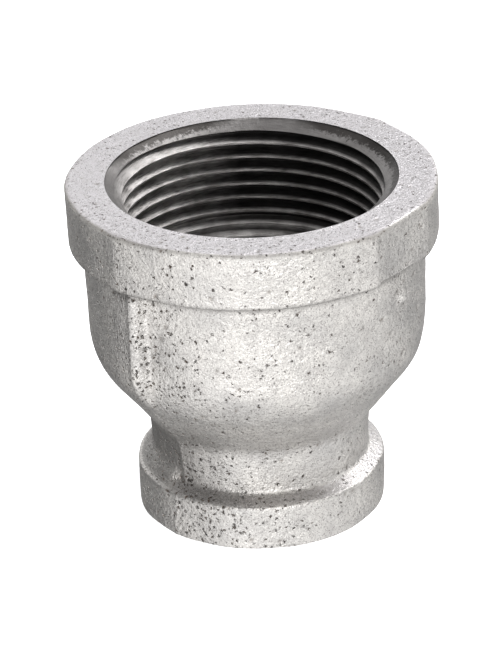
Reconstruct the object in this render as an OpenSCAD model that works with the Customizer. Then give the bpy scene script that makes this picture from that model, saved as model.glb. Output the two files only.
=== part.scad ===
// Concentric threaded reducing coupling: one banded iron casting, a pipe
// thread tapped into each end. The small end's face lies on z = 0, the bore
// runs along +Z and the large end is up. All sizes are in millimetres.

/* [Casting] */
// height, face to face
height = 52.3; // [51:0.1:56]
// outer radius of the band round the large end
large_band_r = 27.9; // [27.4:0.1:29]
// width of the large band along the bore
large_band_w = 8.9; // [7.5:0.1:10]
// outer radius of the band round the small end
small_band_r = 18.9; // [18.4:0.1:20]
// width of the small band along the bore
small_band_w = 6.9; // [6:0.1:7.5]
// outer radius of the bell
bell_r = 25.2; // [25:0.1:26]
// outer radius of the neck
neck_r = 16.6; // [16.4:0.1:17.4]
// height of the bell's widest point
bell_z = 31; // [30:0.1:32]
// radius of the bell's round shoulder
shoulder_r = 13; // [11:0.5:14]
// angle between the bell's flank and the bore
flank_angle = 45; // [42:1:48]

/* [Ribs] */
// width of each rib on the mould's joint
rib_w = 4.6; // [4:0.1:8]
// rise of each rib above the bell
rib_rise = 2.2; // [1.5:0.1:2.3]

/* [Large thread] */
// pitch of the large thread
large_pitch = 2.209; // [2.1:0.001:2.309]
// crest radius of the large thread at its face
large_crest_r = 19.225; // [19.1:0.005:19.5]
// turns of the large thread
large_turns = 8; // [6:1:8]

/* [Small thread] */
// pitch of the small thread
small_pitch = 1.814; // [1.7:0.001:1.9]
// crest radius of the small thread at its face
small_crest_r = 11.833; // [11.7:0.001:12.1]
// turns of the small thread
small_turns = 7; // [6:1:7]

/* [Hidden] */
$fn = 96;
// pipe thread: depth over pitch, flat on the crest and the root over pitch
thread_depth = 0.8;
crest_flat = 0.12;
root_flat = 0.06;
// where each turn's crest and root start and end, over pitch
form = [
  0,
  crest_flat,
  (1 + crest_flat - root_flat) / 2,
  (1 + crest_flat + root_flat) / 2
];
// radius lost for each millimetre of depth: a taper of 1 in 16 on diameter
taper = 1 / 32;
// height of each mouth's countersink
large_sink = 1.7;
small_sink = 1.4;
// metal between each thread's root and the back of its lining
large_back = 1.35;
small_back = 0.65;
// rise of the small band's bevel, and the fillet at the foot of the bell
bevel_h = 1.2;
fillet_r = 5;
arc_steps = 8;
// slope under the large band
ledge_h = 0.7;
// room outside each thread's root at its face
large_mouth_gap = 0.6;
small_mouth_gap = 0.35;
// room outside the large thread's root in the cavity, and the lengths of the
// throat and of the flare above it
cavity_gap = 0.2;
throat_len = 2;
flare_len = 9.5;
// radius the neck gains on its way up to the fillet
neck_flare = 0.4;
// reach past a face, for a clean cut
past = 1;

large_root_r = large_crest_r + thread_depth * large_pitch;
small_root_r = small_crest_r + thread_depth * small_pitch;
large_back_r = large_root_r + large_back;
small_back_r = small_root_r + small_back;
large_mouth_r = large_root_r + large_mouth_gap;
small_mouth_r = small_root_r + small_mouth_gap;
large_len = large_sink + large_turns * large_pitch;
small_len = small_sink + small_turns * small_pitch;
large_land_r = large_crest_r - large_len * taper;
large_base = height - large_len;
band_z = height - large_band_w;

// the cast cavity between the two threads
cavity_r = large_root_r + cavity_gap;
throat_r = small_root_r;
throat_z = small_len + throat_len;
cavity_z = throat_z + flare_len;

// the bell's flank is tangent to its shoulder and to its foot fillet
shoulder_cr = bell_r - shoulder_r;
fillet_cr = neck_r + fillet_r + neck_flare;
flank_top_r = shoulder_cr + shoulder_r * cos(flank_angle);
flank_top_z = bell_z - shoulder_r * sin(flank_angle);
flank_foot_r = fillet_cr - fillet_r * cos(flank_angle);
flank_foot_z = flank_top_z - (flank_top_r - flank_foot_r) / tan(flank_angle);
fillet_z = flank_foot_z - fillet_r * sin(flank_angle);

function foot(i) = flank_angle * i / arc_steps;

bell_side = concat(
  [for (i = [0 : arc_steps])
    [fillet_cr - fillet_r * cos(foot(i)), fillet_z + fillet_r * sin(foot(i))]],
  [for (i = [arc_steps : -1 : 0])
    [shoulder_cr + shoulder_r * cos(foot(i)), bell_z - shoulder_r * sin(foot(i))]]
);

casting_side = concat(
  [[small_band_r, 0], [small_band_r, small_band_w]],
  [[neck_r, small_band_w + bevel_h]],
  bell_side,
  [[bell_r, band_z], [large_band_r, band_z + ledge_h], [large_band_r, height]]
);

rib_side = [for (p = bell_side) [p[0] + rib_rise, p[1]]];

// crests and roots of one thread from its countersink inwards, as
// [radius, depth] pairs
function thread_side(crest_r, pitch, turns, sink) = [
  for (i = [0 : turns - 1])
    for (k = [0 : 3])
      let (
        depth = sink + pitch * (i + form[k]),
        root = k > 1 ? thread_depth * pitch : 0
      )
      [crest_r + root - depth * taper, depth]
];

// each crest's flat is a true cylinder, one step narrower than the last
function crest_land(side, i) =
  i % 4 == 1 ? [side[i - 1][0], side[i][1]] : side[i];

function stepped(side) = [for (i = [0 : len(side) - 1]) crest_land(side, i)];

module casting_shell() {
  difference() {
    union() {
      rotate_extrude()
        polygon(concat([[0, 0]], casting_side, [[0, height]]));
      ribs();
    }
    casting_bore();
  }
}

// two ribs on the mould's joint, flush with the band, faded into the bell
module ribs() {
  intersection() {
    rotate_extrude()
      polygon(concat(
        [[0, rib_side[arc_steps][1]]],
        [[flank_foot_r, rib_side[arc_steps][1]]],
        [for (i = [arc_steps + 1 : len(rib_side) - 1]) rib_side[i]],
        [[bell_r + rib_rise, band_z + ledge_h], [0, band_z + ledge_h]]
      ));
    translate([-large_band_r, -rib_w / 2, 0])
      cube([2 * large_band_r, rib_w, height]);
  }
}

// the seat of each thread, and the cast cavity between them
module casting_bore() {
  rotate_extrude()
    polygon([
      [0, -past],
      [small_mouth_r - past, -past],
      [small_mouth_r, 0],
      [small_back_r, small_back_r - small_mouth_r],
      [small_back_r, small_len],
      [throat_r, small_len],
      [throat_r, throat_z],
      [cavity_r, cavity_z],
      [cavity_r, large_base],
      [large_back_r, large_base],
      [large_back_r, height - large_back_r + large_mouth_r],
      [large_mouth_r, height],
      [large_mouth_r - past, height + past],
      [0, height + past]
    ]);
}

module casting() {
  color([0.72, 0.72, 0.74])
    casting_shell();
}

// a thread's lining, its mouth at z = 0 and its depth along +Z
module lining(mouth_r, back_r, crest_r, pitch, turns, sink) {
  length = sink + pitch * turns;
  last_r = crest_r - length * taper;
  rotate_extrude()
    polygon(concat(
      [[mouth_r, 0]],
      stepped(thread_side(crest_r, pitch, turns, sink)),
      [[last_r, length], [back_r, length], [back_r, back_r - mouth_r]]
    ));
}

module large_thread() {
  color([0.55, 0.54, 0.53])
    translate([0, 0, height])
      mirror([0, 0, 1])
        lining(
          large_mouth_r, large_back_r, large_crest_r,
          large_pitch, large_turns, large_sink
        );
}

module small_thread() {
  color([0.5, 0.49, 0.48])
    lining(
      small_mouth_r, small_back_r, small_crest_r,
      small_pitch, small_turns, small_sink
    );
}

casting();
large_thread();
small_thread();
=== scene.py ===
"""Looks for a threaded reducing coupling: one galvanised casting, a pipe
thread tapped into each end. Everything is in metres, in the frame's axes."""
import math
import bmesh
import bpy
import numpy as np
from mathutils import Matrix, Quaternion, Vector


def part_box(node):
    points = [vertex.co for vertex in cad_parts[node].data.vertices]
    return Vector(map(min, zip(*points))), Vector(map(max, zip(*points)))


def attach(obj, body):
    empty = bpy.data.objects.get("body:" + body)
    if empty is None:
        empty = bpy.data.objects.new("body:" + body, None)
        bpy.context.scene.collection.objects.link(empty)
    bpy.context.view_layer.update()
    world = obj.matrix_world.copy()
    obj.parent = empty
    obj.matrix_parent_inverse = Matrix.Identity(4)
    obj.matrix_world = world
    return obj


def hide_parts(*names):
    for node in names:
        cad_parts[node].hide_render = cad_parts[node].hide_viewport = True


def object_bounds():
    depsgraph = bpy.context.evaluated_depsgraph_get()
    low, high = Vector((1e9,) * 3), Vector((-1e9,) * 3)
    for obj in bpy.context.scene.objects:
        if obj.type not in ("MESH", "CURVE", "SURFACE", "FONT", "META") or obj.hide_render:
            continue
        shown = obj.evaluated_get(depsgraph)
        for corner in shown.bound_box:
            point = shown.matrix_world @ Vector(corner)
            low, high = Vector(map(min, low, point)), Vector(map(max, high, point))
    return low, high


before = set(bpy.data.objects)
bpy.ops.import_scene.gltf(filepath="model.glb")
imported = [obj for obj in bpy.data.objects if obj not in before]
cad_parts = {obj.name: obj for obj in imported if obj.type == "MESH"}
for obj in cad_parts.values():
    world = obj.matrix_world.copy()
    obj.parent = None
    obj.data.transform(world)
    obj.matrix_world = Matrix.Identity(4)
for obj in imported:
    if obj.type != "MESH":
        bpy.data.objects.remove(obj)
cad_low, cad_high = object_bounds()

MM = 0.001

# ---------------------------------------------------------------- sizes, mm

HEIGHT = cad_high.z / MM
large_low, large_high = (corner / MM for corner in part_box("large_thread"))
small_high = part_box("small_thread")[1] / MM

# standard taper pipe threads, nominal 1-1/4 and 3/4
LARGE_PITCH, LARGE_CREST_R = 2.209, 19.225
SMALL_PITCH, SMALL_CREST_R = 1.814, 11.833
THREAD_DEPTH = 0.8  # over pitch
TAPER = 1 / 32
LARGE_SINK, SMALL_SINK = 1.7, 1.4
LARGE_ROOT_R = LARGE_CREST_R + THREAD_DEPTH * LARGE_PITCH
SMALL_ROOT_R = SMALL_CREST_R + THREAD_DEPTH * SMALL_PITCH
LARGE_MOUTH_R, SMALL_MOUTH_R = LARGE_ROOT_R + 0.6, SMALL_ROOT_R + 0.35
MOUTH_LIP = 0.2  # straight wall above each countersink
FIRST_OIL_AND_SHADE = 0.25 * MM  # metres of groove below the countersink before the oil and painted shade are full
LARGE_BACK_R, SMALL_BACK_R = large_high.x, small_high.x
LARGE_BASE, SMALL_TOP = large_low.z, small_high.z

LARGE_BAND_R, LARGE_BAND_W = 27.62, 8.9
SMALL_BAND_R, SMALL_BAND_W = 18.72, 6.9
BELL_R, NECK_R = 25.15, 16.6
RIB_W, RIB_FACE_R = 4.6, 27.2
RIB_OFFSET = -0.3  # the ribs' middle, sideways from the mould's joint
FIN_OFFSET = 1.1  # the fin on each rib, likewise
BAND_CREASE = -0.8  # the crease in the band above each rib, likewise
# bearings of the torn parts of the countersink
TORN_SIDES = (math.radians(85), math.radians(-8), math.radians(-40))
NECK_SHADE_SIDE = math.radians(160)  # bearing of the painted shade low on the neck
PITTED_SIDE = math.radians(170)  # bearing of the most heavily pitted skin
LIT_BORE_SIDE = math.radians(134)  # bearing of the bore's side where light falls, left without the painted dark in the roots
LEDGE_SHADE_SIDE = math.radians(-142)  # bearing of the painted shade on the small band's ledge
FACET = math.radians(-97)  # bearing where the flat patch on the large band starts
FACET_SPAN = 13.0  # length of that patch round the band
CHIPS = ((-79, 38.6, 1.6, 0.8), (-75.5, 38.2, 0.9, -0.5))  # bearing, height, half width, rise
LARGE_START = math.radians(200)  # bearing at which the large thread starts

CAMERA_AZIMUTH, CAMERA_ELEVATION, CAMERA_ROLL = -45.5, 26.6, 2.05  # degrees
CAMERA_DISTANCE = 520.7
CAMERA_LENS = 192.7  # on a 36 mm sensor
SHIFT_X, SHIFT_Y = -0.0113, 0.0157


# ---------------------------------------------------------------- small tools

def linear(code):
    """An sRGB hex colour as linear RGBA."""
    parts = [int(code[i:i + 2], 16) / 255 for i in (1, 3, 5)]
    return tuple(p / 12.92 if p <= 0.04045 else ((p + 0.055) / 1.055) ** 2.4 for p in parts) + (1.0,)


def add(tree, kind, inputs=None, **settings):
    """Adds a node, sets its properties, and sets or links its inputs."""
    made = tree.nodes.new(kind)
    for name, value in settings.items():
        setattr(made, name, value)
    for key, value in (inputs or {}).items():
        if isinstance(value, bpy.types.NodeSocket):
            tree.links.new(value, made.inputs[key])
        else:
            made.inputs[key].default_value = value
    return made


def arc_corner(before, corner, after, radius, step):
    """Points of the fillet that rounds one corner of an outline."""
    a, b, c = (np.array(p, float) for p in (before, corner, after))
    to_a, to_c = (a - b) / np.linalg.norm(a - b), (c - b) / np.linalg.norm(c - b)
    half = math.acos(max(-1.0, min(1.0, float(to_a @ to_c)))) / 2
    reach = radius / math.tan(half)
    centre = b + (to_a + to_c) / np.linalg.norm(to_a + to_c) * radius / math.sin(half)
    start, end = b + to_a * reach - centre, b + to_c * reach - centre
    turn = math.atan2(start[0] * end[1] - start[1] * end[0], float(start @ end))
    count = max(3, int(abs(turn) * radius / step) + 1)
    angles = np.linspace(0, turn, count + 1)
    return [centre + start * math.cos(t) + np.array([-start[1], start[0]]) * math.sin(t) for t in angles]


def rounded(corners, step):
    """An open outline through corners (r, z, fillet radius), split into short steps."""
    points = []
    for i, (r, z, radius) in enumerate(corners):
        inner = 0 < i < len(corners) - 1
        if inner and radius:
            points += arc_corner(corners[i - 1][:2], (r, z), corners[i + 1][:2], radius, step)
        else:
            points.append(np.array([r, z], float))
    line = [points[0]]
    for point in points[1:]:
        gap = np.linalg.norm(point - line[-1])
        count = max(1, int(math.ceil(gap / step)))
        start = line[-1]
        line += [start + (point - start) * k / count for k in range(1, count + 1)]
    return np.array(line)


def smooth_max(a, b, blend):
    """The larger of a and b, with a fillet of about blend where they cross."""
    mix = np.clip(0.5 + (a - b) / (2 * blend), 0, 1)
    return b + (a - b) * mix + blend * mix * (1 - mix)


def bump(x, half_width):
    """1 at x = 0, falling smoothly to 0 at half_width."""
    t = np.clip(np.abs(x) / half_width, 0, 1)
    return (1 - t * t) ** 2


def ease(x, low, high):
    """0 below low, 1 above high, smooth between."""
    t = np.clip((x - low) / (high - low), 0, 1)
    return t * t * (3 - 2 * t)


def mesh_object(name, verts, faces, material):
    mesh = bpy.data.meshes.new(name)
    mesh.from_pydata([tuple(v) for v in verts], [], faces)
    mesh.materials.append(material)
    piece = bpy.data.objects.new(name, mesh)
    bpy.context.scene.collection.objects.link(piece)
    return piece


def freeze(piece):
    """Turns a piece's modifiers into a plain mesh with outward faces."""
    graph = bpy.context.evaluated_depsgraph_get()
    mesh = bpy.data.meshes.new_from_object(piece.evaluated_get(graph))
    piece.modifiers.clear()
    piece.data = mesh
    work = bmesh.new()
    work.from_mesh(mesh)
    bmesh.ops.recalc_face_normals(work, faces=work.faces)
    if work.calc_volume(signed=True) < 0:
        bmesh.ops.reverse_faces(work, faces=work.faces)
    work.to_mesh(mesh)
    work.free()
    mesh.name = piece.name


def set_inputs(modifier, values):
    """Sets a Geometry Nodes modifier's inputs by their sockets' identifiers."""
    sockets = {s.name: s.identifier for s in modifier.node_group.interface.items_tree
               if s.item_type == "SOCKET" and s.in_out == "INPUT"}
    for name, value in values.items():
        modifier[sockets[name]] = value


# ---------------------------------------------------------------- materials

def galvanised():
    """Hot-dip zinc over sand-cast malleable iron: a pale satin grey skin that
    keeps the sand's grain and glitters on it, peppered with dark bare pits
    that gather in clusters, some of them stained brown, their dark deepened by painted shade."""
    material = bpy.data.materials.new("hot_dip_galvanised_iron")
    material.use_nodes = True
    tree = material.node_tree
    shader = tree.nodes["Principled BSDF"]
    place = add(tree, "ShaderNodeTexCoord").outputs["Object"]
    spot = add(tree, "ShaderNodeVectorMath", {0: place, "Scale": 1 / MM}, operation="SCALE").outputs[0]
    cloud = add(tree, "ShaderNodeTexNoise",
                {"Vector": spot, "Scale": 0.16, "Detail": 3.0}).outputs["Fac"]
    grain = add(tree, "ShaderNodeTexNoise",
                {"Vector": spot, "Scale": 1.7, "Detail": 4.0, "Roughness": 0.62})
    dust = add(tree, "ShaderNodeTexNoise", {"Vector": spot, "Scale": 4.5, "Detail": 1.0}).outputs["Fac"]

    # zinc: warm on the walls, faintly lavender on the cut faces
    tone = add(tree, "ShaderNodeValToRGB", {"Fac": cloud})
    tone.color_ramp.elements[0].position, tone.color_ramp.elements[0].color = 0.3, linear("#C8C6C3")
    tone.color_ramp.elements[1].position, tone.color_ramp.elements[1].color = 0.7, linear("#E2DFDA")
    up = add(tree, "ShaderNodeSeparateXYZ",
             {0: add(tree, "ShaderNodeNewGeometry").outputs["True Normal"]})
    flat = add(tree, "ShaderNodeMapRange",
               {"Value": up.outputs["Z"], "From Min": 0.8, "From Max": 0.98}).outputs[0]
    body = add(tree, "ShaderNodeMix", {"Factor": flat, "A": tone.outputs[0], "B": linear("#D6D3D5")},
               data_type="RGBA").outputs["Result"]

    mottle = add(tree, "ShaderNodeTexNoise",
                 {"Vector": spot, "Scale": 0.9, "Detail": 5.0, "Roughness": 0.7})
    shade = add(tree, "ShaderNodeMapRange",
                {"Value": mottle.outputs["Fac"], "From Min": 0.35, "From Max": 0.58,
                 "To Min": 0.32, "To Max": 0.0})
    body = add(tree, "ShaderNodeMix", {"Factor": shade.outputs[0], "A": body, "B": linear("#A19D9B")},
               data_type="RGBA").outputs["Result"]

    # small pits: rare cells of a fine pattern, commoner where the cluster noise is high
    wobble = add(tree, "ShaderNodeTexNoise", {"Vector": spot, "Scale": 3.0}).outputs["Color"]
    bent = add(tree, "ShaderNodeVectorMath", {0: wobble, 1: (0.9, 0.9, 0.9), 2: spot},
               operation="MULTIPLY_ADD").outputs[0]
    cells = add(tree, "ShaderNodeTexVoronoi", {"Vector": bent, "Scale": 1.45})
    lot = add(tree, "ShaderNodeSeparateXYZ", {0: cells.outputs["Color"]}).outputs
    crowd = add(tree, "ShaderNodeTexNoise",
                {"Vector": spot, "Scale": 0.22, "Detail": 2.0}).outputs["Fac"]
    share = add(tree, "ShaderNodeMapRange",
                {"Value": crowd, "From Min": 0.42, "From Max": 0.66, "To Min": 0.05,
                 "To Max": 0.5}).outputs[0]
    # and commoner still along the mould's joint and round the rim of the large face
    way = add(tree, "ShaderNodeSeparateXYZ", {0: spot}).outputs
    off_joint = add(tree, "ShaderNodeMath", {0: way["Y"]}, operation="ABSOLUTE").outputs[0]
    joint = add(tree, "ShaderNodeMapRange",
                {"Value": off_joint, "From Min": 10.0, "From Max": 2.0, "To Min": 0.0,
                 "To Max": 0.36}).outputs[0]
    level = add(tree, "ShaderNodeVectorMath", {0: spot, 1: (1, 1, 0)}, operation="MULTIPLY").outputs[0]
    out = add(tree, "ShaderNodeVectorMath", {0: level}, operation="LENGTH").outputs["Value"]
    rim_out = add(tree, "ShaderNodeMapRange",
                  {"Value": out, "From Min": 26.6, "From Max": 27.3}).outputs[0]
    rim_up = add(tree, "ShaderNodeMapRange",
                 {"Value": way["Z"], "From Min": HEIGHT - 0.9, "From Max": HEIGHT - 0.3}).outputs[0]
    rim = add(tree, "ShaderNodeMath", {0: rim_out, 1: rim_up}, operation="MULTIPLY").outputs[0]
    share = add(tree, "ShaderNodeMath", {0: rim, 1: 0.9, 2: share}, operation="MULTIPLY_ADD").outputs[0]
    share = add(tree, "ShaderNodeMath", {0: flat, 1: 0.24, 2: share},
                operation="MULTIPLY_ADD").outputs[0]
    share = add(tree, "ShaderNodeMath", {0: share, 1: joint}, operation="ADD").outputs[0]
    # one side of the bell and foot came out of the bath the worst
    worst_way = (math.cos(PITTED_SIDE), math.sin(PITTED_SIDE), -0.45)
    toward = add(tree, "ShaderNodeVectorMath", {0: spot, 1: worst_way},
                 operation="DOT_PRODUCT").outputs["Value"]
    worst = add(tree, "ShaderNodeMapRange",
                {"Value": toward, "From Min": 1.0, "From Max": 13.0, "To Max": 0.5}).outputs[0]
    share = add(tree, "ShaderNodeMath", {0: share, 1: worst}, operation="ADD").outputs[0]
    chosen = add(tree, "ShaderNodeMath", {0: lot["X"], 1: share}, operation="LESS_THAN").outputs[0]
    width = add(tree, "ShaderNodeMapRange",
                {"Value": lot["Y"], "To Min": 0.14, "To Max": 0.46}).outputs[0]
    width = add(tree, "ShaderNodeMath", {0: worst, 1: 0.14, 2: width},
                operation="MULTIPLY_ADD").outputs[0]
    hollow = add(tree, "ShaderNodeMapRange",
                 {"Value": cells.outputs["Distance"], "From Min": width, "From Max": 0.08},
                 interpolation_type="SMOOTHSTEP").outputs[0]
    small = add(tree, "ShaderNodeMath", {0: hollow, 1: chosen}, operation="MULTIPLY").outputs[0]
    cast = add(tree, "ShaderNodeAttribute", attribute_name="cast").outputs["Fac"]
    small = add(tree, "ShaderNodeMath", {0: small, 1: cast}, operation="MULTIPLY").outputs[0]
    large = add(tree, "ShaderNodeAttribute", attribute_name="pit").outputs["Fac"]
    pit = add(tree, "ShaderNodeMath", {0: small, 1: large}, operation="MAXIMUM").outputs[0]

    # the pits' colour: dark bare iron, brown on some, deepened by painted shade in the hollows
    pit_colour_and_shade = add(tree, "ShaderNodeMix",
                {"Factor": lot["Z"], "A": linear("#3E3B39"), "B": linear("#6A5B4E")},
                data_type="RGBA").outputs["Result"]
    speck = add(tree, "ShaderNodeMapRange",
                {"Value": dust, "From Min": 0.3, "From Max": 0.52, "To Min": 0.6,
                 "To Max": 0.0}).outputs[0]
    grey = add(tree, "ShaderNodeMix", {"Factor": speck, "A": body, "B": linear("#85817E")},
               data_type="RGBA").outputs["Result"]
    # painted shade on the small band's ledge, darkest towards one side
    off_ledge = add(tree, "ShaderNodeMath", {0: way["Z"], 1: SMALL_BAND_W + 0.8},
                    operation="SUBTRACT").outputs[0]
    near_ledge = add(tree, "ShaderNodeMath", {0: off_ledge}, operation="ABSOLUTE").outputs[0]
    ledge_shade_band = add(tree, "ShaderNodeMapRange",
                   {"Value": near_ledge, "From Min": 1.2, "From Max": 0.4, "To Max": 0.68}).outputs[0]
    ledge_shade_way = (math.cos(LEDGE_SHADE_SIDE), math.sin(LEDGE_SHADE_SIDE), 0)
    toward = add(tree, "ShaderNodeVectorMath", {0: spot, 1: ledge_shade_way},
                 operation="DOT_PRODUCT").outputs["Value"]
    ledge_shade_side = add(tree, "ShaderNodeMapRange",
                {"Value": toward, "From Min": 10.0, "From Max": 15.0}).outputs[0]
    ledge_shade = add(tree, "ShaderNodeMath", {0: ledge_shade_band, 1: ledge_shade_side}, operation="MULTIPLY").outputs[0]
    grey = add(tree, "ShaderNodeMix", {"Factor": ledge_shade, "A": grey, "B": linear("#6E6B68")},
               data_type="RGBA").outputs["Result"]
    # painted shade too, thinner, in the corner under the large band
    off_band = add(tree, "ShaderNodeMath", {0: way["Z"], 1: HEIGHT - LARGE_BAND_W - 0.3},
                   operation="SUBTRACT")
    near_band = add(tree, "ShaderNodeMath", {0: off_band.outputs[0]}, operation="ABSOLUTE").outputs[0]
    under_band_shade = add(tree, "ShaderNodeMapRange",
                    {"Value": near_band, "From Min": 1.15, "From Max": 0.25, "To Max": 0.6}).outputs[0]
    grey = add(tree, "ShaderNodeMix", {"Factor": under_band_shade, "A": grey, "B": linear("#6E6B68")},
               data_type="RGBA").outputs["Result"]
    # painted shade on the far side of the mould's joint, low down
    neck_shade_way = (math.cos(NECK_SHADE_SIDE), math.sin(NECK_SHADE_SIDE), 0)
    toward = add(tree, "ShaderNodeVectorMath", {0: spot, 1: neck_shade_way},
                 operation="DOT_PRODUCT").outputs["Value"]
    round_it = add(tree, "ShaderNodeMapRange",
                   {"Value": toward, "From Min": 11.5, "From Max": 15.5}).outputs[0]
    low_down = add(tree, "ShaderNodeMapRange",
                   {"Value": way["Z"], "From Min": 20.0, "From Max": 15.0, "To Max": 0.6}).outputs[0]
    on_neck = add(tree, "ShaderNodeMapRange",
                  {"Value": way["Z"], "From Min": 6.0, "From Max": 8.0, "To Min": 0.2}).outputs[0]
    neck_shade = add(tree, "ShaderNodeMath", {0: round_it, 1: low_down}, operation="MULTIPLY").outputs[0]
    neck_shade = add(tree, "ShaderNodeMath", {0: neck_shade, 1: on_neck}, operation="MULTIPLY").outputs[0]
    grey = add(tree, "ShaderNodeMix", {"Factor": neck_shade, "A": grey, "B": linear("#6E6B68")},
               data_type="RGBA").outputs["Result"]
    # inside, the cavity is painted near black as shade
    inner = add(tree, "ShaderNodeMapRange",
                {"Value": out, "From Min": 22.4, "From Max": 21.9, "To Min": 0.0,
                 "To Max": 1.0}).outputs[0]
    below = add(tree, "ShaderNodeMath", {0: way["Z"], 1: HEIGHT - 3}, operation="LESS_THAN").outputs[0]
    bare = add(tree, "ShaderNodeMath", {0: 1.0, 1: cast}, operation="SUBTRACT").outputs[0]
    hidden = add(tree, "ShaderNodeMath", {0: inner, 1: below}, operation="MULTIPLY").outputs[0]
    cavity_shade = add(tree, "ShaderNodeMath", {0: hidden, 1: bare}, operation="MULTIPLY").outputs[0]
    grey = add(tree, "ShaderNodeMix", {"Factor": cavity_shade, "A": grey, "B": linear("#2B2927")},
               data_type="RGBA").outputs["Result"]
    rough = add(tree, "ShaderNodeMapRange",
                {"Value": dust, "From Min": 0.3, "From Max": 0.7, "To Min": 0.26,
                                             "To Max": 0.5})
    # the rim is worn dull by handling
    worn = add(tree, "ShaderNodeMath", {0: rim, 1: 0.4}, operation="MULTIPLY").outputs[0]
    rough = add(tree, "ShaderNodeMath", {0: rough.outputs[0], 1: worn}, operation="ADD")
    grey = add(tree, "ShaderNodeMix", {"Factor": worn, "A": grey, "B": linear("#6E6B68")},
               data_type="RGBA").outputs["Result"]
    final = add(tree, "ShaderNodeMix", {"Factor": pit, "A": grey, "B": pit_colour_and_shade}, data_type="RGBA")
    sunk = add(tree, "ShaderNodeMath", {0: small, 1: -1.6, 2: grain.outputs["Fac"]},
               operation="MULTIPLY_ADD")
    relief = add(tree, "ShaderNodeBump",
                 {"Height": sunk.outputs[0], "Strength": 1.0, "Distance": 0.23 * MM})
    tree.links.new(final.outputs["Result"], shader.inputs["Base Color"])
    tree.links.new(rough.outputs[0], shader.inputs["Roughness"])
    tree.links.new(relief.outputs[0], shader.inputs["Normal"])
    shader.inputs["Metallic"].default_value = 0.96
    return material


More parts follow.
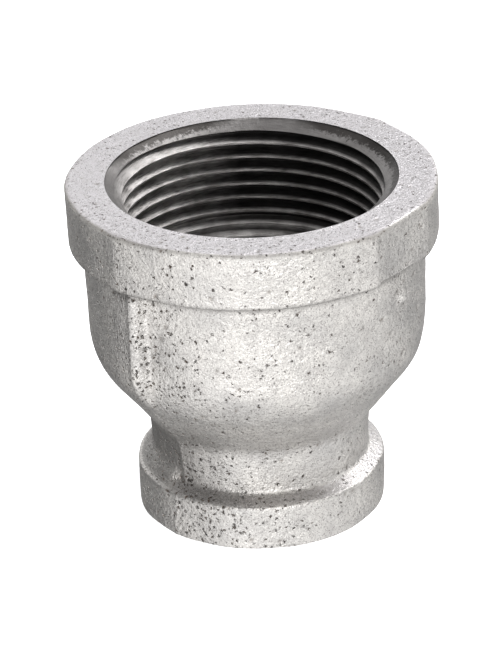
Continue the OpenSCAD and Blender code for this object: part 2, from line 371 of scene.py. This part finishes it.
def tapped():
    """Iron bared by the tap: satin crests and a torn, streaky chamfer, with
    cutting oil and swarf black in the roots, deepened there by painted shade."""
    material = bpy.data.materials.new("tapped_bare_iron")
    material.use_nodes = True
    tree = material.node_tree
    shader = tree.nodes["Principled BSDF"]
    place = add(tree, "ShaderNodeTexCoord").outputs["Object"]
    spot = add(tree, "ShaderNodeVectorMath", {0: place, "Scale": 1 / MM}, operation="SCALE").outputs[0]
    cloud = add(tree, "ShaderNodeTexNoise", {"Vector": spot, "Scale": 0.3, "Detail": 4.0}).outputs["Fac"]
    lines = add(tree, "ShaderNodeVectorMath", {0: spot, 1: (0.5, 0.5, 9.0)},
                operation="MULTIPLY").outputs[0]
    streak = add(tree, "ShaderNodeTexNoise",
                 {"Vector": lines, "Scale": 1.0, "Detail": 3.0}).outputs["Fac"]
    torn = add(tree, "ShaderNodeTexNoise",
               {"Vector": spot, "Scale": 1.6, "Detail": 4.0, "Roughness": 0.7})
    groove = add(tree, "ShaderNodeAttribute", attribute_name="groove").outputs["Fac"]
    tone = add(tree, "ShaderNodeValToRGB", {"Fac": cloud})
    tone.color_ramp.elements[0].position, tone.color_ramp.elements[0].color = 0.35, linear("#898684")
    tone.color_ramp.elements[1].position, tone.color_ramp.elements[1].color = 0.7, linear("#BCB9B7")
    mark = add(tree, "ShaderNodeMapRange",
               {"Value": streak, "From Min": 0.35, "From Max": 0.5, "To Min": 0.45,
                "To Max": 0.0}).outputs[0]
    lined = add(tree, "ShaderNodeMix", {"Factor": mark, "A": tone.outputs[0], "B": linear("#3B3735")},
                data_type="RGBA").outputs["Result"]
    # cutting oil and painted shade darken the roots
    oil_and_shade = add(tree, "ShaderNodeMapRange",
              {"Value": groove, "From Min": 0.01, "From Max": 0.3, "To Min": 0.0,
               "To Max": 0.93}).outputs[0]
    # on the side of the bore where light falls, the painted dark in the roots is lifted: painted light
    lit_bore_way = (math.cos(LIT_BORE_SIDE), math.sin(LIT_BORE_SIDE), 0)
    toward = add(tree, "ShaderNodeVectorMath", {0: spot, 1: lit_bore_way},
                 operation="DOT_PRODUCT").outputs["Value"]
    left = add(tree, "ShaderNodeMapRange",
               {"Value": toward, "From Min": 2.0, "From Max": 13.0, "To Min": 1.0,
                "To Max": 0.0}).outputs[0]
    oil_and_shade = add(tree, "ShaderNodeMath", {0: oil_and_shade, 1: left}, operation="MULTIPLY").outputs[0]
    # where the tap entered it tore the countersink
    up = add(tree, "ShaderNodeSeparateXYZ", {0: spot}).outputs["Z"]
    ragged = add(tree, "ShaderNodeMath", {0: torn.outputs["Fac"], 1: 2.4, 2: up},
                 operation="MULTIPLY_ADD")
    scar = add(tree, "ShaderNodeMapRange",
               {"Value": ragged.outputs[0], "From Min": HEIGHT + 0.1, "From Max": HEIGHT + 0.5,
                "To Max": 0.8})
    mouth = add(tree, "ShaderNodeMapRange",
                {"Value": up, "From Min": HEIGHT - 2.6, "From Max": HEIGHT - 1.8})
    dull = add(tree, "ShaderNodeMath", {0: mouth.outputs[0], 1: 0.75}, operation="MULTIPLY").outputs[0]
    lined = add(tree, "ShaderNodeMix", {"Factor": dull, "A": lined, "B": linear("#62605F")},
                data_type="RGBA").outputs["Result"]
    scarred = add(tree, "ShaderNodeMath", {0: scar.outputs[0], 1: mouth.outputs[0]},
                  operation="MULTIPLY").outputs[0]
    for side in TORN_SIDES:
        torn_way = (math.cos(side), math.sin(side), 0)
        toward = add(tree, "ShaderNodeVectorMath", {0: spot, 1: torn_way},
                     operation="DOT_PRODUCT").outputs["Value"]
        near = add(tree, "ShaderNodeMapRange",
                   {"Value": toward, "From Min": 17.5, "From Max": 19.5}).outputs[0]
        here = add(tree, "ShaderNodeMath", {0: scarred, 1: near}, operation="MULTIPLY").outputs[0]
        lined = add(tree, "ShaderNodeMix", {"Factor": here, "A": lined, "B": linear("#262321")},
                    data_type="RGBA").outputs["Result"]
    final = add(tree, "ShaderNodeMix", {"Factor": oil_and_shade, "A": lined, "B": linear("#242322")},
                data_type="RGBA")
    rough = add(tree, "ShaderNodeMapRange", {"Value": streak, "To Min": 0.36, "To Max": 0.6})
    relief = add(tree, "ShaderNodeBump",
                 {"Height": torn.outputs["Fac"], "Strength": 0.6, "Distance": 0.14 * MM})
    fine = add(tree, "ShaderNodeBump",
               {"Height": streak, "Strength": 0.5, "Distance": 0.05 * MM, "Normal": relief.outputs[0]})
    tree.links.new(final.outputs["Result"], shader.inputs["Base Color"])
    tree.links.new(rough.outputs[0], shader.inputs["Roughness"])
    tree.links.new(fine.outputs[0], shader.inputs["Normal"])
    shader.inputs["Metallic"].default_value = 1.0
    return material


def floor_white():
    """A matt white studio sweep."""
    material = bpy.data.materials.new("matt_white_floor")
    material.use_nodes = True
    shader = material.node_tree.nodes["Principled BSDF"]
    shader.inputs["Base Color"].default_value = linear("#F7F7F7")
    shader.inputs["Emission Color"].default_value = linear("#FFFFFF")
    shader.inputs["Emission Strength"].default_value = FLOOR_GLOW
    shader.inputs["Roughness"].default_value = 0.9
    return material


# ---------------------------------------------------------------- casting

OUTER_STEP = 0.36
COLUMNS = 428
RIB_CROWD = 0.2  # how much the columns crowd towards the ribs
FACE_TOLERANCE = 0.001
FACE_BLEND = (1, 4)  # width round a mouth over which the mould's shape sets in

# what the mould did to the outside, mm; a rise is outwards, a half is a half width
RIDGE_RISE, RIDGE_HALF = 0.34, 4.5  # the low ridge on the mould's joint
FLASH_RISE, FLASH_HALF = 0.08, 0.7  # the thin flash along it
CREASE_RISE, CREASE_LEFT, CREASE_RIGHT, CREASE_SINK = 0.42, 2.8, 6, 0.1
EDGE_UP, EDGE_RUN = 0.1, 5  # slope and length of the climb to the flat patch's edge
EDGE_DOWN, EDGE_TAIL, EDGE_SINK = 0.025, 20, 0.1  # and of the fall beyond it
TUCK_RISE, TUCK_HALF, TUCK_IN, TUCK_OUT = 0.7, 2.2, 1.5, (8, 12)  # band's lower edge, lifted
BANK_SLOPE, BANK_SINK, BANK_FILLET = 0.62, 0.25, 0.4
BANK_START, BANK_FADE = (0.5, 2.5), (0.1, 0.4)
# waves of the sand: rise, lobes round the bore, turn per millimetre up, phase
WAVES = ((0.07, 3, 0.11, 0.7), (0.05, 7, -0.21, 2.1), (0.035, 13, 0.45, 4.0), (0.03, 2, 0.9, 0))
WAVE_SINK = 0.05
RIB_BEND_Z, RIB_BEND_LENGTH, RIB_BEND_MOST = 31, 11, 1.6  # where a rib starts to sink, how fast
RIB_FALL, RIB_CURVE, RIB_SLOPE = 8.6, 2.2, 0.09
FIN_RISE, FIN_HALF = 0.18, 0.6
RIB_DRAFT, RIB_EDGE, RIB_FILLET = 2.4, 0.2, 0.45
RIB_FOOT, RIB_TOP = 2, 1.5  # above the small band, above the large band's lower edge
BOX_GAP = 0.02  # kept clear inside the frame's box


def outer_outline():
    """The casting's outside from the small mouth round to the large mouth."""
    ledge = HEIGHT - LARGE_BAND_W
    return rounded([
        (SMALL_MOUTH_R, 0, 0),
        (SMALL_BAND_R, 0, 0.2),
        (SMALL_BAND_R + 0.05, SMALL_BAND_W, 0.5),
        (NECK_R - 0.4, SMALL_BAND_W + 1.3, 0.9),
        (NECK_R + 0.3, 15.2, 4.5),
        (BELL_R - 0.1, 25.9, 11.4),
        (BELL_R + 0.25, ledge - 0.4, 0.7),
        (LARGE_BAND_R, ledge + 0.2, 0.6),
        (LARGE_BAND_R, HEIGHT, 0.45),
        (LARGE_MOUTH_R, HEIGHT, 0),
    ], OUTER_STEP)


def inner_outline():
    """The thread seats and the cast cavity, from the large mouth to the small."""
    return rounded([
        (LARGE_MOUTH_R, HEIGHT, 0),
        (LARGE_BACK_R, HEIGHT - LARGE_BACK_R + LARGE_MOUTH_R, 0),
        (LARGE_BACK_R, LARGE_BASE, 0),
        (LARGE_ROOT_R + 0.2, LARGE_BASE, 0),
        (LARGE_ROOT_R + 0.2, SMALL_TOP + 11.5, 3),
        (SMALL_ROOT_R, SMALL_TOP + 2, 3),
        (SMALL_ROOT_R, SMALL_TOP, 0),
        (SMALL_BACK_R, SMALL_TOP, 0),
        (SMALL_BACK_R, SMALL_BACK_R - SMALL_MOUTH_R, 0),
        (SMALL_MOUTH_R, 0, 0),
    ], 3.0)


def turned(theta, start):
    """The angle from start to theta, from -pi to pi."""
    return (theta - start + math.pi) % (2 * math.pi) - math.pi


def rib_radius(z, across):
    """How far out a rib's face stands: sunk into the bell below, ridged by its fin."""
    sunk = np.clip((RIB_BEND_Z - z) / RIB_BEND_LENGTH, 0, RIB_BEND_MOST)
    off_fin = across - FIN_OFFSET
    face = RIB_FACE_R - RIB_FALL * sunk ** RIB_CURVE
    return face - RIB_SLOPE * np.abs(off_fin) + FIN_RISE * bump(off_fin, FIN_HALF)


def cast_skin(theta, r, z):
    """Moves the plain turned outside to the shape the mould gave it."""
    side = r * ((theta + math.pi / 2) % math.pi - math.pi / 2)
    ledge = HEIGHT - LARGE_BAND_W
    on_band = ease(z, ledge - 0.2, ledge + 0.8)
    on_small = 1 - ease(z, SMALL_BAND_W, SMALL_BAND_W + 1)
    on_walls = ease(r, NECK_R - 1.0, NECK_R - 0.6)

    # the mould's two halves meet in a low ridge, on the band in a crease
    roof = RIDGE_RISE * np.clip(1 - np.abs(side) / RIDGE_HALF, 0, 1) + FLASH_RISE * bump(side, FLASH_HALF)
    from_crease = side - BAND_CREASE
    half = np.where(from_crease < 0, CREASE_LEFT, CREASE_RIGHT)
    crease = CREASE_RISE * np.clip(1 - np.abs(from_crease) / half, 0, 1)
    ridge = (1 - on_band) * roof * (1 - 0.5 * on_small)
    r = r + on_walls * (ridge + on_band * (crease - CREASE_SINK))

    # a flat patch on the large band, past a second crease
    past = r * turned(theta, FACET)
    dip = np.clip(past * (FACET_SPAN - past), 0, None) / (2 * LARGE_BAND_R)
    climb = EDGE_UP * np.clip(past + EDGE_RUN, 0, EDGE_RUN)
    rise = climb - EDGE_DOWN * np.clip(past, 0, EDGE_TAIL) - EDGE_SINK
    r = r + on_band * (rise - dip)
    tucked = ease(past, 0, TUCK_IN) * (1 - ease(past, *TUCK_OUT))
    z = z + TUCK_RISE * tucked * bump(z - ledge, TUCK_HALF)

    # beyond the mould's joint the small band's ledge is banked up to the neck
    beyond = ease(-side, *BANK_START) * ease(-np.cos(theta), *BANK_FADE)
    bank = np.minimum(SMALL_BAND_R - BANK_SLOPE * (z - SMALL_BAND_W), SMALL_BAND_R) - BANK_SINK
    r = r + beyond * on_walls * (smooth_max(r, bank, BANK_FILLET) - r)

    # the slow waves of a rammed sand mould
    wave = sum(rise * np.sin(lobes * theta + turn * z + phase) for rise, lobes, turn, phase in WAVES)
    r = r + on_walls * (wave - WAVE_SINK)

    # a chip of the mould stuck under the band, and the hole it left
    for bearing, height, width, rise in CHIPS:
        away = np.hypot(r * turned(theta, math.radians(bearing)), z - height)
        r = r + rise * bump(away, width)

    # the two ribs, flush with the band
    off_rib = np.abs(side - RIB_OFFSET) - RIB_W / 2
    rib = rib_radius(z, side) - smooth_max(off_rib, 0, RIB_EDGE) * RIB_DRAFT
    ribbed = (z > SMALL_BAND_W + RIB_FOOT) & (z < ledge + RIB_TOP)
    shaped = np.where(ribbed, smooth_max(r, rib, RIB_FILLET), r)
    return np.minimum(shaped, cad_high.y / MM - BOX_GAP), z


def casting_mesh(material):
    outer, inner = outer_outline(), inner_outline()
    outline = np.vstack([outer, inner[1:-1]])
    rows = len(outline)
    phi = np.linspace(-math.pi, math.pi, COLUMNS, endpoint=False)
    theta = np.repeat((phi - RIB_CROWD * np.sin(2 * phi) / 2)[None, :], rows, axis=0)
    r = np.repeat(outline[:, :1], COLUMNS, axis=1)
    z = np.repeat(outline[:, 1:], COLUMNS, axis=1)
    shaped_r, shaped_z = cast_skin(theta, r, z)

    # the mould shapes the walls; the two faces are cut flat, their mouths round
    face_w = np.where(z > HEIGHT / 2, r - LARGE_MOUTH_R, r - SMALL_MOUTH_R)
    is_outer = np.repeat((np.arange(rows) < len(outer))[:, None], COLUMNS, axis=1)
    is_face = (z < FACE_TOLERANCE) | (z > HEIGHT - FACE_TOLERANCE)
    blend = np.where(is_face, ease(face_w, *FACE_BLEND), 1.0) * is_outer
    r = r + (shaped_r - r) * blend
    z = np.where(is_face | ~is_outer, z, shaped_z)
    verts = np.stack([r * np.cos(theta), r * np.sin(theta), z], -1).reshape(-1, 3) * MM
    faces = []
    for i in range(rows):
        below = (i + 1) % rows
        for j in range(COLUMNS):
            k = (j + 1) % COLUMNS
            faces.append((i * COLUMNS + j, i * COLUMNS + k, below * COLUMNS + k, below * COLUMNS + j))
    piece = mesh_object("casting_skin", verts, faces, material)
    cast = (is_outer * np.where(is_face, ease(face_w, 0.2, 0.8), 1.0)).reshape(-1)
    piece.data.attributes.new("cast", "FLOAT",
    "POINT").data.foreach_set("value", cast.astype(np.float32))
    return piece


def skin_tree():
    """Sand grain and small pits, both sunk into the skin, so it never grows."""
    tree = bpy.data.node_groups.new("sand_cast_skin", "GeometryNodeTree")
    tree.interface.new_socket("Geometry", in_out="INPUT", socket_type="NodeSocketGeometry")
    for name in ("Grain Height", "Grain Scale", "Pit Depth", "Pit Scale", "Pit Share", "Pit Radius"):
        tree.interface.new_socket(name, in_out="INPUT", socket_type="NodeSocketFloat")
    tree.interface.new_socket("Material", in_out="INPUT", socket_type="NodeSocketMaterial")
    tree.interface.new_socket("Geometry", in_out="OUTPUT", socket_type="NodeSocketGeometry")
    source = tree.nodes.new("NodeGroupInput").outputs
    sink = tree.nodes.new("NodeGroupOutput")
    place = add(tree, "GeometryNodeInputPosition").outputs[0]
    spot = add(tree, "ShaderNodeVectorMath", {0: place, "Scale": 1 / MM}, operation="SCALE").outputs[0]
    grain = add(tree, "ShaderNodeTexNoise",
                {"Vector": spot, "Scale": source["Grain Scale"], "Detail": 2.0})
    cells = add(tree, "ShaderNodeTexVoronoi", {"Vector": spot, "Scale": source["Pit Scale"]})
    pick = add(tree, "ShaderNodeSeparateXYZ", {0: cells.outputs["Color"]}).outputs["X"]
    chosen = add(tree, "ShaderNodeMath", {0: pick, 1: source["Pit Share"]},
                 operation="LESS_THAN").outputs[0]
    hollow = add(tree, "ShaderNodeMapRange",
                 {"Value": cells.outputs["Distance"], "From Min": source["Pit Radius"], "From Max": 0.0},
                 interpolation_type="SMOOTHSTEP").outputs[0]
    pit = add(tree, "ShaderNodeMath", {0: hollow, 1: chosen}, operation="MULTIPLY").outputs[0]
    cast = add(tree, "GeometryNodeInputNamedAttribute", {"Name": "cast"},
               data_type="FLOAT").outputs["Attribute"]
    shown = add(tree, "ShaderNodeMath", {0: pit, 1: cast}, operation="MULTIPLY").outputs[0]
    low = add(tree, "ShaderNodeMath", {0: grain.outputs[0], 1: source["Grain Height"]},
              operation="MULTIPLY").outputs[0]
    deep = add(tree, "ShaderNodeMath", {0: pit, 1: source["Pit Depth"], 2: low},
               operation="MULTIPLY_ADD").outputs[0]
    inward = add(tree, "ShaderNodeMath", {0: deep, 1: cast}, operation="MULTIPLY").outputs[0]
    drop = add(tree, "ShaderNodeMath", {0: inward, 1: -1.0}, operation="MULTIPLY").outputs[0]
    normal = add(tree, "GeometryNodeInputNormal").outputs[0]
    offset = add(tree, "ShaderNodeVectorMath", {0: normal, "Scale": drop}, operation="SCALE").outputs[0]
    named = add(tree, "GeometryNodeStoreNamedAttribute",
                {"Geometry": source["Geometry"], "Name": "pit",
                 "Value": shown}, data_type="FLOAT", domain="POINT")
    moved = add(tree, "GeometryNodeSetPosition", {"Geometry": named.outputs[0], "Offset": offset})
    real = add(tree, "GeometryNodeRealizeInstances", {"Geometry": moved.outputs[0]})
    painted = add(tree, "GeometryNodeSetMaterial",
                  {"Geometry": real.outputs[0], "Material": source["Material"]})
    tree.links.new(painted.outputs[0], sink.inputs[0])
    return tree


def finish_piece(piece, replaced):
    freeze(piece)
    piece.data.shade_smooth()
    piece.data.set_sharp_from_angle(angle=math.radians(40))
    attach(piece, "root")
    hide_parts(replaced)


# ---------------------------------------------------------------- threads

THREAD_STEPS, THREAD_ROWS = 288, 16  # points along one turn, and across it
LARGE_SPIRAL, SMALL_SPIRAL = 9, 8  # turns of each strip, one more than its thread has
RUN_OUT = 3  # turns over which a thread's inner end fades
WELD = 0.002 * MM


def thread_tree():
    """A tapped mouth: its mouth at z = 0, the thread running down -Z."""
    tree = bpy.data.node_groups.new("taper_pipe_thread", "GeometryNodeTree")
    interface = tree.interface
    names = ["Mouth Radius", "Back Radius", "Crest Radius", "Pitch", "Depth",
             "Taper", "Countersink", "Lip", "Length", "Run Out"]
    interface.new_socket("Geometry", in_out="INPUT", socket_type="NodeSocketGeometry")
    for name in names:
        interface.new_socket(name, in_out="INPUT", socket_type="NodeSocketFloat")
    interface.new_socket("Turns", in_out="INPUT", socket_type="NodeSocketInt")
    interface.new_socket("Steps", in_out="INPUT", socket_type="NodeSocketInt")
    interface.new_socket("Rows", in_out="INPUT", socket_type="NodeSocketInt")
    interface.new_socket("Material", in_out="INPUT", socket_type="NodeSocketMaterial")
    interface.new_socket("Geometry", in_out="OUTPUT", socket_type="NodeSocketGeometry")
    source = tree.nodes.new("NodeGroupInput").outputs
    sink = tree.nodes.new("NodeGroupOutput")

    place = add(tree, "GeometryNodeInputPosition").outputs[0]
    grid = add(tree, "ShaderNodeSeparateXYZ", {0: place}).outputs
    known = {socket.name: socket for socket in source if socket.name}
    known.update({"grid x": grid[0], "grid y": grid[1]})
    for name, operation, *values in (
        # the threaded wall: one strip as wide as the pitch, wound down the bore
        ("winds", "ADD", "Turns", 2.0),
        ("steps along", "MULTIPLY", "winds", "Steps"),
        ("points along", "ADD", "steps along", 1.0),
        ("points across", "ADD", "Rows", 1.0),
        ("share", "ADD", "grid x", 0.5),
        ("turn", "MULTIPLY", "share", "winds"),
        ("across", "ADD", "grid y", 0.5),
        ("pitches", "ADD", "turn", "across"),
        ("pitches in", "SUBTRACT", "pitches", 1.0),
        ("free depth", "MULTIPLY", "pitches in", "Pitch"),
        ("below face", "MAXIMUM", "free depth", 0.0),
        ("depth", "MINIMUM", "below face", "Length"),
        # the crest is flat at the strip's edges, the root in its middle
        ("twice", "MULTIPLY_ADD", "across", 2.0, -1.0),
        ("from middle", "ABSOLUTE", "twice"),
        ("form", "MULTIPLY_ADD", "from middle", -1 / 0.82, 0.88 / 0.82),
        ("form low", "MAXIMUM", "form", 0.0),
        ("form cut", "MINIMUM", "form low", 1.0),
        ("to end", "SUBTRACT", "Length", "depth"),
        ("left", "DIVIDE", "to end", "Run Out"),
        ("left cut", "MINIMUM", "left", 1.0),
        ("groove", "MULTIPLY", "form cut", "Depth"),
        ("groove left", "MULTIPLY", "groove", "left cut"),
        ("lost", "MULTIPLY", "depth", "Taper"),
        ("crest", "SUBTRACT", "Crest Radius", "lost"),
        ("thread", "ADD", "crest", "groove left"),
        # the countersink, below a short straight lip
        ("sink drop", "SUBTRACT", "Mouth Radius", "Crest Radius"),
        ("sink slope", "DIVIDE", "sink drop", "Countersink"),
        ("below lip", "SUBTRACT", "depth", "Lip"),
        ("sink depth", "MAXIMUM", "below lip", 0.0),
        ("sink loss", "MULTIPLY", "sink depth", "sink slope"),
        ("sink", "SUBTRACT", "Mouth Radius", "sink loss"),
        ("wall", "MAXIMUM", "thread", "sink"),
        ("bare depth", "SUBTRACT", "thread", "sink"),
        ("bare share", "DIVIDE", "bare depth", FIRST_OIL_AND_SHADE),
        ("bare top", "MINIMUM", "bare share", 1.0),
        ("bared", "MAXIMUM", "bare top", 0.0),
        ("groove share", "MULTIPLY", "form cut", "left cut"),
        ("shown groove", "MULTIPLY", "groove share", "bared"),
        # the back: mouth edge, cone to the seat, seat, inner end
        ("back points", "ADD", "Steps", 1.0),
        ("row", "ADD", "grid y", 1.5),
        ("to seat", "MINIMUM", "row", 1.0),
        ("row 2", "SUBTRACT", "row", 1.0),
        ("row 2 low", "MAXIMUM", "row 2", 0.0),
        ("down seat", "MINIMUM", "row 2 low", 1.0),
        ("row 3", "SUBTRACT", "row", 2.0),
        ("inward", "MAXIMUM", "row 3", 0.0),
        ("cone", "SUBTRACT", "Back Radius", "Mouth Radius"),
        ("all lost", "MULTIPLY", "Length", "Taper"),
        ("end radius", "SUBTRACT", "Crest Radius", "all lost"),
        ("end width", "SUBTRACT", "Back Radius", "end radius"),
        ("widened", "MULTIPLY_ADD", "cone", "to seat", "Mouth Radius"),
        ("narrowed", "MULTIPLY", "end width", "inward"),
        ("back", "SUBTRACT", "widened", "narrowed"),
        ("seat length", "SUBTRACT", "Length", "cone"),
        ("cone depth", "MULTIPLY", "cone", "to seat"),
        ("back depth", "MULTIPLY_ADD", "seat length", "down seat", "cone depth"),
        # both as points round the bore
        ("wall angle", "MULTIPLY", "turn", -2 * math.pi),
        ("wall cos", "COSINE", "wall angle"),
        ("wall sin", "SINE", "wall angle"),
        ("wall x", "MULTIPLY", "wall cos", "wall"),
        ("wall y", "MULTIPLY", "wall sin", "wall"),
        ("wall z", "MULTIPLY", "depth", -1.0),
        ("back angle", "MULTIPLY", "share", -2 * math.pi),
        ("back cos", "COSINE", "back angle"),
        ("back sin", "SINE", "back angle"),
        ("back x", "MULTIPLY", "back cos", "back"),
        ("back y", "MULTIPLY", "back sin", "back"),
        ("back z", "MULTIPLY", "back depth", -1.0),
    ):
        values = {i: known.get(value, value) for i, value in enumerate(values)}
        known[name] = add(tree, "ShaderNodeMath", values, operation=operation).outputs[0]
    strip = add(tree, "GeometryNodeMeshGrid",
                {"Size X": 1.0, "Size Y": 1.0, "Vertices X": known["points along"],
                 "Vertices Y": known["points across"]})
    rings = add(tree, "GeometryNodeMeshGrid",
                {"Size X": 1.0, "Size Y": 3.0, "Vertices X": known["back points"], "Vertices Y": 4})
    wall_place = add(tree, "ShaderNodeCombineXYZ",
                     {0: known["wall x"], 1: known["wall y"], 2: known["wall z"]})
    back_place = add(tree, "ShaderNodeCombineXYZ",
                     {0: known["back x"], 1: known["back y"], 2: known["back z"]})
    marked = add(tree, "GeometryNodeStoreNamedAttribute",
                 {"Geometry": strip.outputs["Mesh"], "Name": "groove", "Value": known["shown groove"]},
                 data_type="FLOAT", domain="POINT")
    wall = add(tree, "GeometryNodeSetPosition",
               {"Geometry": marked.outputs[0], "Position": wall_place.outputs[0]})
    back = add(tree, "GeometryNodeSetPosition",
               {"Geometry": rings.outputs["Mesh"], "Position": back_place.outputs[0]})

    joined = add(tree, "GeometryNodeJoinGeometry")
    tree.links.new(wall.outputs[0], joined.inputs[0])
    tree.links.new(back.outputs[0], joined.inputs[0])
    merged = add(tree, "GeometryNodeMergeByDistance", {"Geometry": joined.outputs[0], "Distance": WELD})
    real = add(tree, "GeometryNodeRealizeInstances", {"Geometry": merged.outputs[0]})
    painted = add(tree, "GeometryNodeSetMaterial",
                  {"Geometry": real.outputs[0], "Material": source["Material"]})
    tree.links.new(painted.outputs[0], sink.inputs[0])
    return tree


def tapped_mouth(name, tree, material, sizes, turns):
    mesh = bpy.data.meshes.new(name)
    piece = bpy.data.objects.new(name, mesh)
    bpy.context.scene.collection.objects.link(piece)
    modifier = piece.modifiers.new("thread", "NODES")
    modifier.node_group = tree
    values = {key: size * MM for key, size in sizes.items()}
    values.update({"Taper": TAPER, "Turns": turns, "Steps": THREAD_STEPS, "Rows": THREAD_ROWS,
                   "Material": material})
    set_inputs(modifier, values)
    return piece


# ---------------------------------------------------------------- stage

def from_camera(bearing, elevation):
    """A direction by its bearing from the camera's own and its elevation."""
    a, e = math.radians(bearing + CAMERA_AZIMUTH), math.radians(elevation)
    return Vector((math.sin(a) * math.cos(e), -math.cos(a) * math.cos(e), math.sin(e)))


def area_light(name, azimuth, elevation, distance, size, power, aim_z):
    """A soft box at a bearing from the camera's own, looking at the part."""
    light = bpy.data.lights.new(name, "AREA")
    light.shape = "RECTANGLE"
    light.size, light.size_y = size
    light.energy = power
    lamp = bpy.data.objects.new(name, light)
    back = from_camera(azimuth, elevation)
    lamp.location = Vector((0, 0, aim_z * MM)) + back * distance
    lamp.rotation_mode = "QUATERNION"
    lamp.rotation_quaternion = (-back).to_track_quat("-Z", "Y")
    bpy.context.scene.collection.objects.link(lamp)


# the room the metal mirrors: bearing from the camera, elevation, tightness and
# strength of each soft glow. Upright walls mirror the low ones, the top face
# the high one behind.
GLOWS = (
    ("low_front", -10, -25, 4, 1.1),
    ("low_front_left", -55, -22, 6, 1.35),
    ("low_right", 76, -22, 6, 1.5),
    ("straight_down", 20, -75, 3, 0.85),
    ("high_behind", 175, 25, 5, 0.32),
    ("high_right", 125, 45, 6, 1.7),
    ("over_right", 105, 58, 16, 3.7),
    ("high_left", -110, 52, 8, 1.8),
    ("behind_left", -155, 10, 16, 2.1),
    ("low_left", -125, -25, 8, 0.11),
    ("low_far_right", 150, -25, 8, 0.35),
    ("front", 5, 15, 4, 0.45),
)
AMBIENT = 0.1
FLOOR_GLOW = 0.55  # the sweep is lit on its own, as a cut-out's ground is


def studio_world():
    """Adds up the glows into the background's strength."""
    world = bpy.data.worlds.new("studio")
    bpy.context.scene.world = world
    world.use_nodes = True
    tree = world.node_tree
    way = add(tree, "ShaderNodeTexCoord").outputs["Generated"]
    level = add(tree, "ShaderNodeValue").outputs[0]
    level.default_value = AMBIENT
    for name, bearing, elevation, tightness, strength in GLOWS:
        centre = tuple(from_camera(bearing, elevation))
        facing = add(tree, "ShaderNodeVectorMath", {0: way, 1: centre},
                     operation="DOT_PRODUCT").outputs["Value"]
        front = add(tree, "ShaderNodeMath", {0: facing, 1: 0.0}, operation="MAXIMUM").outputs[0]
        tight = add(tree, "ShaderNodeMath", {0: front, 1: float(tightness)},
                    operation="POWER").outputs[0]
        level = add(tree, "ShaderNodeMath", {0: tight, 1: strength, 2: level}, name=name,
                    operation="MULTIPLY_ADD").outputs[0]
    tree.links.new(level, tree.nodes["Background"].inputs["Strength"])
    tree.nodes["Background"].inputs["Color"].default_value = linear("#F4F4F5")


def studio():
    bpy.ops.mesh.primitive_plane_add(size=6)
    floor = bpy.context.object
    floor.name = "floor"
    floor.data.materials.append(floor_white())
    floor.visible_diffuse = floor.visible_glossy = False  # the room's lower half lights the part instead

    studio_world()
    area_light("key_softbox", azimuth=10, elevation=22, distance=0.8,
               size=(0.5, 0.4), power=5.0, aim_z=30)
    area_light("bore_light", azimuth=125, elevation=50, distance=0.5,
               size=(0.12, 0.12), power=0.9, aim_z=50)

    lens = bpy.data.cameras.new("camera")
    lens.lens = CAMERA_LENS
    lens.shift_x, lens.shift_y = SHIFT_X, SHIFT_Y
    lens.clip_start, lens.clip_end = 0.01, 20
    camera = bpy.data.objects.new("camera", lens)
    back = from_camera(0, CAMERA_ELEVATION)
    camera.location = Vector((0, 0, HEIGHT / 2 * MM)) + back * CAMERA_DISTANCE * MM
    camera.rotation_mode = "QUATERNION"
    level = (-back).to_track_quat("-Z", "Y")
    camera.rotation_quaternion = level @ Quaternion((0, 0, 1), math.radians(-CAMERA_ROLL))
    bpy.context.scene.collection.objects.link(camera)
    bpy.context.scene.camera = camera
    bpy.context.scene.view_settings.view_transform = "Standard"


# ---------------------------------------------------------------- assembly

zinc, bare = galvanised(), tapped()
skin = casting_mesh(zinc)
grain = skin.modifiers.new("skin", "NODES")
grain.node_group = skin_tree()
set_inputs(grain, {
    "Grain Height": 0.09 * MM, "Grain Scale": 1.1, "Pit Depth": 0.22 * MM, "Pit Scale": 0.6,
    "Pit Share": 0.22, "Pit Radius": 0.26, "Material": zinc})
finish_piece(skin, "casting")

thread = thread_tree()
large = tapped_mouth("large_tapped_mouth", thread, bare, {
    "Mouth Radius": LARGE_MOUTH_R, "Back Radius": LARGE_BACK_R, "Crest Radius": LARGE_CREST_R,
    "Pitch": LARGE_PITCH, "Lip": MOUTH_LIP, "Depth": THREAD_DEPTH * LARGE_PITCH,
    "Countersink": LARGE_SINK,
    "Length": HEIGHT - LARGE_BASE, "Run Out": RUN_OUT * LARGE_PITCH}, LARGE_SPIRAL)
small = tapped_mouth("small_tapped_mouth", thread, bare, {
    "Mouth Radius": SMALL_MOUTH_R, "Back Radius": SMALL_BACK_R, "Crest Radius": SMALL_CREST_R,
    "Pitch": SMALL_PITCH, "Lip": MOUTH_LIP, "Depth": THREAD_DEPTH * SMALL_PITCH,
    "Countersink": SMALL_SINK,
    "Length": SMALL_TOP, "Run Out": RUN_OUT * SMALL_PITCH}, SMALL_SPIRAL)
for piece, lift, turn_over, start in ((large, HEIGHT * MM, 0, LARGE_START), (small, 0, math.pi, 0)):
    freeze(piece)
    rotate = Quaternion((0, 0, 1), start) @ Quaternion((1, 0, 0), turn_over)
    piece.data.transform(Matrix.Translation((0, 0, lift)) @ rotate.to_matrix().to_4x4())
finish_piece(large, "large_thread")
finish_piece(small, "small_thread")

studio()
